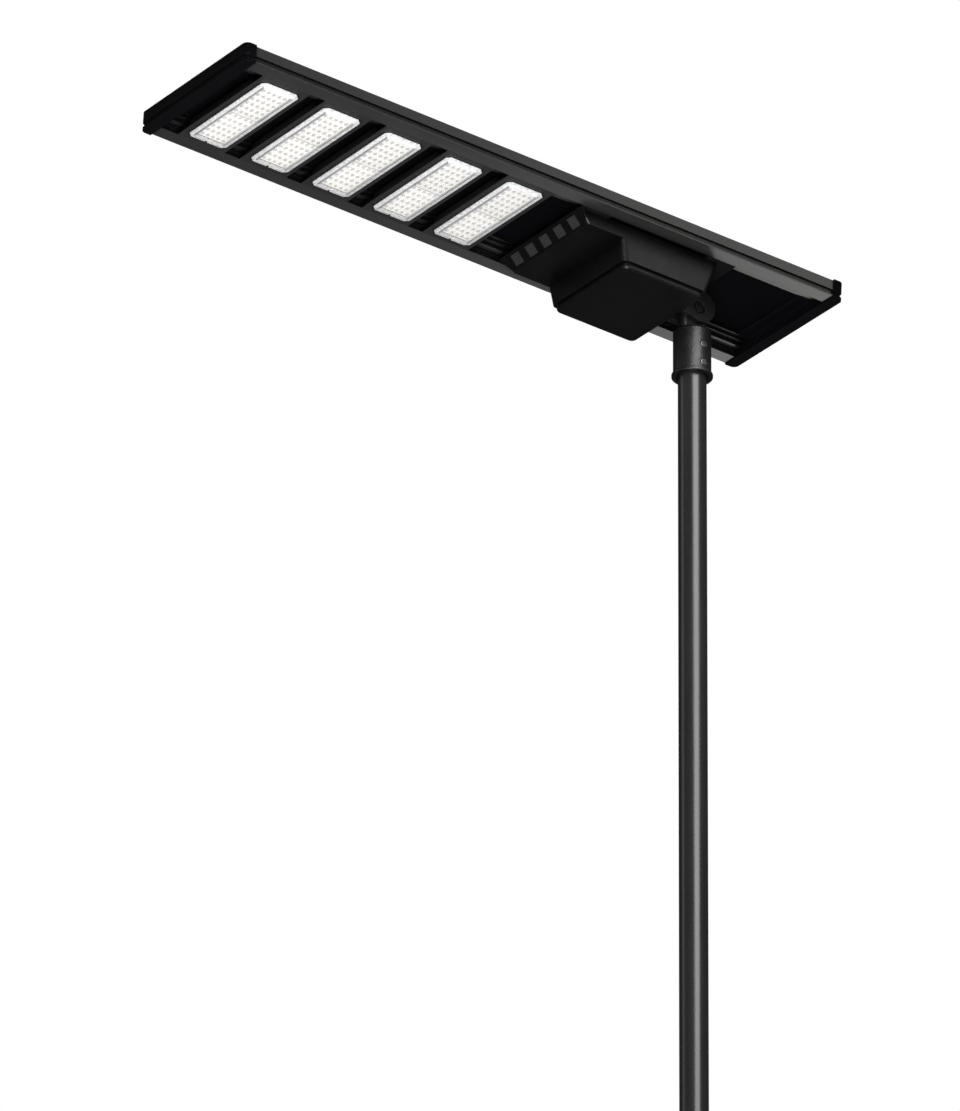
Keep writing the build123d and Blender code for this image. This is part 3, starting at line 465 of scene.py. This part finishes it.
nodeFinish = {
    "postPaint": ["base_plate", "base_gussets", "pole_tube"],
    "castCoat": ["pole_sleeve", "pivot_bracket"],
    "boxCoat": ["battery_housing", "battery_cover"],
    "railAnodised": ["side_rail_left", "side_rail_right"],
    "barAnodised": ["led_bar_screws"] + [f"led_bar_{i}" for i in range(1, 6)],
    "capMoulded": ["end_cap_front", "end_cap_rear"],
    "frameMoulded": ["window_frame"],
    "windowSmoked": ["window_panes"],
    "backsheetFilm": ["pv_backsheet"],
    "beamCoat": ["cross_beam_front", "cross_beam_rear"],
    "screwBlack": ["sleeve_set_screws", "pivot_bracket_screws", "pivot_bolt", "pivot_nut", "friction_washers",
                   "end_cap_screws", "cross_beam_screws"],
    "screwZinc": ["cover_screws"],
    "rubberBlack": ["cover_gasket"] + [f"lens_gasket_{i}" for i in range(1, 6)],
    "caseMoulded": ["pv_junction_box", "charge_controller", "cell_holders"],
    "cellWrap": ["battery_cells"],
    "boardGreen": ["bms_board"],
    "boardWhite": [f"led_board_{i}" for i in range(1, 6)],
    "solarGlass": ["pv_glass"],
    "siliconCell": ["pv_cells"],
}
for finishName, names in nodeFinish.items():
    for name in names:
        node = nodes[name]
        node.data.materials.clear()
        node.data.materials.append(materials[finishName])
print("CAD nodes finished:", sum(len(names) for names in nodeFinish.values()))

# Lens covers: an open shell with a chamfered flange, a raised window in two halves
# and a tunnel for the leads at one end
lensCover = {
    "count": 5, "firstX": 1139.75 * mm, "pitch": 153.5 * mm, "halfWidth": 45.5 * mm, "halfLength": 137 * mm,
    "top": -1 * mm, "flange": 2.5 * mm, "corner": 9 * mm, "rim": 9.2 * mm, "draft": 0.986,
    "face": -6.9 * mm, "border": 3.4 * mm, "sunk": 0.5 * mm, "wall": 11.5 * mm, "roof": -5.0 * mm,
    "split": 0.5 * mm, "splitDepth": 1.6 * mm, "splitReach": 40 * mm,
    "tunnel": 2.6 * mm, "tunnelEnd": -121 * mm, "tunnelDeep": -5.6 * mm,
    "shadeFrom": 25 * mm, "shadeHalf": 60 * mm, "edge": 0.35 * mm, "overrun": 2 * mm}


def lensX(number):
    return lensCover["firstX"] - lensCover["pitch"] * (number - 1)


def cutAway(piece, cutters):
    for cutter in cutters:
        cut = piece.modifiers.new("cut", "BOOLEAN")
        cut.object = cutter
        cut.solver = "EXACT"
    applyModifiers(piece)
    for cutter in cutters:
        bpy.data.objects.remove(cutter)


def makeLensCover(name):
    size = lensCover
    foot = size["top"] - size["flange"]
    halfWidth, halfLength = size["halfWidth"], size["halfLength"]
    cover = startBox(name, (-halfWidth, -halfLength, foot), (halfWidth, halfLength, size["top"]))
    pickEdges(cover, lambda a, b: abs(a.z - b.z) > 1 * mm)
    bpy.ops.mesh.bevel(offset=size["corner"], segments=1)
    leaveEdit()
    for finish in ("lensFrosted", "lensEdgeShade", "lensClear"):
        cover.data.materials.append(materials[finish])
    # The dome stands down from the flange; its window is a little sunk inside a border
    pickFaces(cover, lambda centre, normal: normal.z < -0.9)
    bpy.ops.mesh.inset(thickness=size["rim"], depth=0)
    bpy.ops.mesh.extrude_region_move(TRANSFORM_OT_translate={"value": (0, 0, size["face"] - foot)})
    bpy.ops.transform.resize(value=(size["draft"], 1 - (1 - size["draft"]) / 3, 1))
    bpy.ops.mesh.inset(thickness=size["border"], depth=0)
    bpy.ops.transform.translate(value=(0, 0, size["sunk"]))
    assignSlot(cover, 2)
    # The hollow over the board
    pickFaces(cover, lambda centre, normal: normal.z > 0.9)
    bpy.ops.mesh.inset(thickness=size["wall"], depth=0)
    bpy.ops.mesh.extrude_region_move(TRANSFORM_OT_translate={"value": (0, 0, size["roof"] - size["top"])})
    assignSlot(cover, 2)
    # Painted shade: grey along the two long edges, where the wall takes light from the dark bar
    pickFaces(cover, lambda centre, normal: normal.z < -0.3 and centre.z < foot - 1 * mm
              and size["shadeFrom"] < abs(centre.x) and abs(centre.y) < size["shadeHalf"])
    assignSlot(cover, 1)
    # The split line between the halves, and the lead tunnel
    overrun = size["overrun"]
    reach, split, tunnel = size["splitReach"], size["split"], size["tunnel"]
    cutAway(cover, [
        startBox("split_cutter", (-reach, -split, size["face"] - overrun),
                 (reach, split, size["face"] + size["splitDepth"])),
        startBox("tunnel_cutter", (-tunnel, -halfLength - overrun, size["tunnelDeep"]),
                 (tunnel, size["tunnelEnd"], size["top"] + overrun))])
    # Painted shade: the split line's walls take the same grey
    pickFaces(cover, lambda centre, normal: abs(centre.y) < 2 * split and centre.z < size["roof"])
    assignSlot(cover, 1)
    edge = cover.modifiers.new("edges", "BEVEL")
    edge.width = size["edge"]
    edge.segments = 2
    edge.limit_method = "ANGLE"
    edge.angle_limit = math.radians(35)
    applyModifiers(cover)
    smoothByAngle(cover, 40)
    return cover


# Optics: a raised lens over each emitter, with the emitter's image low inside it
optics = {
    "columns": 5, "rows": 12, "pitchX": 12.9 * mm, "pitchY": 19.8 * mm, "midGap": 0.6 * mm,
    "lensReach": (5.3 * mm, 8.4 * mm), "lensRise": 1.7 * mm, "lensLift": 0.15 * mm,
    "glowReach": (3.3 * mm, 4.8 * mm), "glowRise": 0.8 * mm, "glowLift": 1.2 * mm,
    "sides": 14, "rings": 6, "boardFace": -1.6 * mm, "chip": 1.6 * mm, "chipHeight": 0.7 * mm,
    "chipCorner": 0.3 * mm, "dishWall": 0.35 * mm, "dishDepth": 0.2 * mm}


def makeDome(name, reach, rise, finish):
    # Half a squashed ball, flat side at z = 0 and crown below it
    clearSelection()
    bpy.ops.mesh.primitive_uv_sphere_add(
        segments=optics["sides"], ring_count=optics["rings"], radius=1, location=(0, 0, 0))
    dome = bpy.context.object
    dome.name = name
    pickFaces(dome, lambda centre, normal: True)
    bpy.ops.mesh.bisect(plane_co=(0, 0, 0), plane_no=(0, 0, 1), clear_outer=True, use_fill=True)
    bpy.ops.mesh.select_all(action="SELECT")
    bpy.ops.transform.resize(value=(reach[0], reach[1], rise), center_override=(0, 0, 0))
    leaveEdit()
    closeMesh(dome)
    dome.data.materials.append(materials[finish])
    smoothByAngle(dome, 60)
    return dome


def makeChip(name):
    # A square package with its phosphor in a dish
    half = optics["chip"]
    chip = startBox(name, (-half, -half, -optics["chipHeight"]), (half, half, 0))
    for finish in ("packageWhite", "phosphor"):
        chip.data.materials.append(materials[finish])
    pickEdges(chip, lambda a, b: abs(a.z - b.z) > 0.3 * mm)
    bpy.ops.mesh.bevel(offset=optics["chipCorner"], segments=1)
    leaveEdit()
    pickFaces(chip, lambda centre, normal: normal.z < -0.9)
    bpy.ops.mesh.inset(thickness=optics["dishWall"], depth=0)
    bpy.ops.transform.translate(value=(0, 0, optics["dishDepth"]))
    assignSlot(chip, 1)
    return chip


def spreadOverBoard(unit, name, x, z):
    # Two blocks of straight rows, one on each half of the cover
    half = optics["rows"] // 2
    firstX = x - optics["pitchX"] * (optics["columns"] - 1) / 2
    firstY = optics["pitchY"] / 2 + optics["midGap"]
    blocks = []
    for block, side in (("a", 1), ("b", -1)):
        row = ownCopy(unit, name + block, (firstX, side * firstY, z))
        repeat(row, half, (0, side * optics["pitchY"], 0))
        repeat(row, optics["columns"], (optics["pitchX"], 0, 0))
        blocks.append(row)
    return joinPieces(blocks, name)


def makeLensModules():
    cover = makeLensCover("lens_cover_unit")
    dome = makeDome("dome_unit", optics["lensReach"], optics["lensRise"], "lensBump")
    glow = makeDome("glow_unit", optics["glowReach"], optics["glowRise"], "emitterGlow")
    chip = makeChip("chip_unit")
    windowFace = lensCover["face"] + lensCover["sunk"]
    for number in range(1, lensCover["count"] + 1):
        x = lensX(number)
        piece = ownCopy(cover, f"lens_cover_{number}", (x, 0, 0))
        hangOnHead(piece)
        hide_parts(f"lens_plate_{number}")
        raised = spreadOverBoard(dome, f"lens_optics_{number}", x, windowFace + optics["lensLift"])
        hangOnHead(raised)
        glows = spreadOverBoard(glow, f"emitter_glow_{number}", x, lensCover["roof"] + optics["glowLift"])
        hangOnHead(glows)
        chips = spreadOverBoard(chip, f"led_emitters_{number}", x, optics["boardFace"])
        hangOnHead(chips)
    for unit in (cover, dome, glow, chip):
        bpy.data.objects.remove(unit)
    print("lens modules made:", lensCover["count"])


makeLensModules()


# Set screws: low heads with a cross recess, two on each side of the sleeve
setScrew = {
    "radius": 6.9 * mm, "height": 2.7 * mm, "round": 0.9 * mm, "dish": 0.9 * mm, "dishDepth": 0.25 * mm,
    "recess": 4.0 * mm, "slot": 0.85 * mm, "recessDepth": 1.7 * mm,
    "seat": 38 * mm, "rowHeights": (2.949, 2.991), "turns": (20, 65)}


def makeSetScrews():
    size = setScrew
    clearSelection()
    bpy.ops.mesh.primitive_cylinder_add(
        vertices=48, radius=size["radius"], depth=size["height"], end_fill_type="NGON",
        location=(0, 0, size["height"] / 2))
    screw = bpy.context.object
    bpy.ops.object.transform_apply(location=True, rotation=True, scale=True)
    pickFaces(screw, lambda centre, normal: normal.z > 0.9)
    bpy.ops.mesh.bevel(offset=size["round"], segments=3)
    leaveEdit()
    pickFaces(screw, lambda centre, normal: normal.z > 0.99)
    bpy.ops.mesh.inset(thickness=size["dish"], depth=0)
    bpy.ops.transform.translate(value=(0, 0, size["dishDepth"]))
    leaveEdit()
    floor = size["height"] - size["recessDepth"]
    reach, slot = size["recess"], size["slot"]
    cutAway(screw, [
        startBox("cross_a", (-reach, -slot, floor), (reach, slot, 2 * size["height"])),
        startBox("cross_b", (-slot, -reach, floor), (slot, reach, 2 * size["height"]))])
    smoothByAngle(screw, 30)
    heads = []
    for side in (1, -1):
        for height, turn in zip(size["rowHeights"], size["turns"]):
            twin = ownCopy(screw, f"set_screw_{len(heads) + 1}")
            twin.data.transform(
                Matrix.Translation((0, side * size["seat"], height))
                @ Matrix.Rotation(-side * math.radians(90), 4, "X")
                @ Matrix.Rotation(math.radians(turn), 4, "Z"))
            heads.append(twin)
    bpy.data.objects.remove(screw)
    heads = joinPieces(heads, "set_screw_heads")
    heads.data.materials.append(materials["screwDull"])
    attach(heads, "clamp")
    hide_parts("sleeve_set_screws")
    print("set screws made")


makeSetScrews()


# Weld beads: round the foot of the tube and along both sides of each gusset's foot
weld = {
    "tubeRadius": 31.5 * mm, "bead": 3.4 * mm, "plateTop": 12 * mm, "gussetHalf": 4.6 * mm,
    "footStart": 33 * mm, "footEnd": 88 * mm, "cuts": 22, "ripple": 1.1 * mm, "rippleScale": 3.5 * mm,
    "tubeSit": 0.8 * mm, "footSit": 0.4 * mm, "footShare": 0.8}


def rippled(piece):
    clouds = bpy.data.textures.new(piece.name + "Ripple", "CLOUDS")
    clouds.noise_scale = weld["rippleScale"]
    wave = piece.modifiers.new("ripple", "DISPLACE")
    wave.texture = clouds
    wave.strength = weld["ripple"]
    wave.texture_coords = "LOCAL"
    applyModifiers(piece)
    smoothByAngle(piece, 60)


def makeWelds():
    size = weld
    clearSelection()
    bpy.ops.mesh.primitive_torus_add(
        major_radius=size["tubeRadius"], minor_radius=size["bead"], major_segments=120, minor_segments=10,
        location=(0, 0, size["plateTop"] + size["tubeSit"]))
    beads = [bpy.context.object]
    bpy.ops.object.transform_apply(location=True, rotation=True, scale=True)
    length = size["footEnd"] - size["footStart"]
    clearSelection()
    bpy.ops.mesh.primitive_cylinder_add(
        vertices=10, radius=size["footShare"] * size["bead"], depth=length, location=(0, 0, 0))
    foot = bpy.context.object
    pickEdges(foot, lambda a, b: abs(a.z - b.z) > 0.5 * length)
    bpy.ops.mesh.subdivide(number_cuts=size["cuts"])
    leaveEdit()
    middle = size["footStart"] + length / 2
    foot.data.transform(
        Matrix.Translation((middle, size["gussetHalf"], size["plateTop"] + size["footSit"]))
        @ Matrix.Rotation(math.radians(90), 4, "Y"))
    for turn in (0, 90, 180, 270):
        for side in (1, -1):
            twin = ownCopy(foot, "gusset_weld")
            twin.data.transform(
                Matrix.Rotation(math.radians(turn), 4, "Z")
                @ Matrix.Translation((0, (side - 1) * size["gussetHalf"], 0)))
            beads.append(twin)
    bpy.data.objects.remove(foot)
    beads = joinPieces(beads, "base_welds")
    rippled(beads)
    beads.data.materials.append(materials["weldBead"])
    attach(beads, "post")
    print("welds made")


makeWelds()


# Cell ribbons: flat tinned strips along each row of cells, seen through the glass
ribbon = {"perRow": 5, "rows": 2, "width": 1.4 * mm, "thickness": 0.25 * mm, "endGap": 4 * mm,
    "sunk": 0.05 * mm, "crownInset": 0.3 * mm, "crown": 0.05 * mm}


def levelBox(name):
    # A head node's box in the level head frame
    toLevel = headToWorld.inverted()
    points = [toLevel @ vertex.co for vertex in nodes[name].data.vertices]
    return [min(p[i] for p in points) for i in range(3)], [max(p[i] for p in points) for i in range(3)]


def makeRibbons():
    size = ribbon
    low, high = levelBox("pv_cells")
    rowWidth = (high[1] - low[1]) / size["rows"]
    pitch = rowWidth / size["perRow"]
    y = low[1] + pitch / 2
    z = high[2] - size["sunk"]
    strip = startBox(
        "cell_ribbons", (low[0] + size["endGap"], y - size["width"] / 2, z),
        (high[0] - size["endGap"], y + size["width"] / 2, z + size["thickness"]))
    pickFaces(strip, lambda centre, normal: normal.z > 0.9)
    bpy.ops.mesh.inset(thickness=size["crownInset"], depth=0)
    bpy.ops.transform.translate(value=(0, 0, size["crown"]))
    leaveEdit()
    repeat(strip, size["perRow"] * size["rows"], (0, pitch, 0))
    strip.data.materials.append(materials["ribbonTin"])
    hangOnHead(strip)
    print("cell ribbons made")


makeRibbons()


# "seen" and "lit" are the world's strength for the camera and for everything else
stage = {
    "floorRadius": 2.1, "floorThickness": 0.02, "floorColour": (0.82, 0.82, 0.81), "seen": 1.0, "lit": 0.05}


def makeFloor():
    clearSelection()
    bpy.ops.mesh.primitive_cylinder_add(
        vertices=128, radius=stage["floorRadius"], depth=stage["floorThickness"],
        location=(0, 0, -stage["floorThickness"] / 2))
    floor = bpy.context.object
    floor.name = "studio_floor"
    bpy.ops.object.transform_apply(location=True, rotation=True, scale=True)
    material, tree, shader = newMaterial("paleFloor")
    coords = addNode(tree, "ShaderNodeTexCoord")
    noise = addNode(tree, "ShaderNodeTexNoise", {"Scale": 3.0, "Detail": 4.0})
    link(tree, coords, "Object", noise, "Vector")
    ramp = rampNode(tree, list(zip(noiseSpan, (shade(stage["floorColour"], 0.985), stage["floorColour"]))))
    link(tree, noise, "Fac", ramp, "Fac")
    link(tree, ramp, "Color", shader, "Base Color")
    shader.inputs["Roughness"].default_value = 0.8
    floor.data.materials.append(material)
    # The floor throws no light back up, as a large dark studio would not
    floor.visible_diffuse = False
    floor.visible_glossy = False


# The camera looks up at the head from far off: azimuth 0 would look along +Y
view = {
    "azimuth": 144.51, "elevation": -26.65, "distance": 25.36, "lens": 394.4, "sensor": 36.0,
    "aimHeight": 3.12305, "aimRight": 0.4416, "aimUp": 0.5434, "roll": 0.35, "clip": (0.1, 200)}


def viewAxes():
    azimuth = math.radians(view["azimuth"])
    elevation = math.radians(view["elevation"])
    level = math.cos(elevation)
    back = Vector((math.sin(azimuth) * level, -math.cos(azimuth) * level, math.sin(elevation)))
    right = (-back).cross(Vector((0, 0, 1))).normalized()
    up = right.cross(-back)
    roll = Matrix.Rotation(math.radians(view["roll"]), 3, back)
    return roll @ right, roll @ up, back


def makeCamera():
    right, up, back = viewAxes()
    aim = Vector((0, 0, view["aimHeight"])) - view["aimRight"] * right - view["aimUp"] * up
    cameraData = bpy.data.cameras.new("camera")
    cameraData.lens = view["lens"]
    cameraData.sensor_width = view["sensor"]
    cameraData.clip_start, cameraData.clip_end = view["clip"]
    camera = bpy.data.objects.new("camera", cameraData)
    bpy.context.collection.objects.link(camera)
    turn = Matrix((right, up, back)).transposed().to_4x4()
    camera.matrix_world = Matrix.Translation(aim + back * view["distance"]) @ turn
    bpy.context.scene.camera = camera


railNodes = ["side_rail_left", "side_rail_right"]
postNodes = ["pole_tube", "pole_sleeve", "set_screw_heads", "base_plate", "base_gussets", "base_welds"]
lensKinds = ("lens_cover", "lens_optics", "emitter_glow", "led_emitters", "led_board")
lensNames = [f"{kind}_{number}" for kind in lensKinds for number in range(1, 6)]
boxNodes = ["battery_housing", "battery_cover", "pivot_bracket", "pivot_bolt"]
# Each lamp: place, aim, width and height in metres, watts, and what it lights (None for all)
lamps = {
    "lensSoft": ((1.9, 1.9, 0.9), (0.83, 0.0, 3.16), 2.4, 2.4, 90, lensNames),
    "underSoft": ((2.2, 3.0, 0.6), (0.5, 0.0, 3.12), 3.0, 3.0, 250, None),
    "postStrip": ((0.6, 3.6, 4.4), (0.0, 0.0, 2.4), 2.8, 3.6, 250, postNodes),
    "postLeft": ((3.4, -2.2, 4.0), (0.0, 0.0, 2.0), 1.0, 3.4, 12, postNodes),
    "railSide": ((-2.33, 3.1, 4.9), (-0.1, 0.15, 3.12), 1.3, 1.3, 6, railNodes),
    "railUnder": ((-2.15, -2.6, 1.55), (-0.2, -0.05, 3.1), 0.8, 0.8, 8, railNodes),
    "boxSide": ((-1.6, 3.2, 4.2), (0.1, 0.15, 3.12), 2.0, 2.0, 24, boxNodes),
    "boxCorner": ((3.0, 2.4, 4.0), (0.27, 0.13, 3.1), 0.8, 0.8, 12, boxNodes),
    "topSoft": ((0.5, -0.5, 7.0), (0.5, 0.0, 3.1), 3.0, 3.0, 120, None),
    "floorSoft": ((0.0, 0.0, 6.5), (0.0, 0.0, 0.0), 5.0, 5.0, 850, ["studio_floor"]),
}


def lightOnly(light, names):
    # A flagged lamp: it falls on these pieces alone
    group = bpy.data.collections.new(light.name + "Lit")
    for name in names:
        group.objects.link(nodes.get(name) or bpy.data.objects[name])
    light.light_linking.receiver_collection = group


def makeLights():
    for name, (place, aim, width, height, watts, names) in lamps.items():
        lightData = bpy.data.lights.new(name, "AREA")
        lightData.shape = "RECTANGLE"
        lightData.size = width
        lightData.size_y = height
        lightData.energy = watts
        light = bpy.data.objects.new(name, lightData)
        bpy.context.collection.objects.link(light)
        light.location = place
        light.rotation_euler = (Vector(aim) - Vector(place)).to_track_quat("-Z", "Y").to_euler()
        light.visible_camera = False
        if names:
            lightOnly(light, names)
    # White where the camera sees it, and dim as a light
    world = bpy.data.worlds.new("studio")
    bpy.context.scene.world = world
    world.use_nodes = True
    tree = world.node_tree
    tree.nodes.clear()
    rays = addNode(tree, "ShaderNodeLightPath")
    seen = addNode(tree, "ShaderNodeBackground", {"Color": (1, 1, 1, 1), "Strength": stage["seen"]})
    lit = addNode(tree, "ShaderNodeBackground", {"Color": (1, 1, 1, 1), "Strength": stage["lit"]})
    mix = addNode(tree, "ShaderNodeMixShader")
    output = addNode(tree, "ShaderNodeOutputWorld")
    link(tree, rays, "Is Camera Ray", mix, 0)
    tree.links.new(lit.outputs[0], mix.inputs[1])
    tree.links.new(seen.outputs[0], mix.inputs[2])
    link(tree, mix, 0, output, "Surface")
    bpy.context.scene.view_settings.view_transform = "Standard"


makeFloor()
makeCamera()
makeLights()
print("stage, camera and lights set")
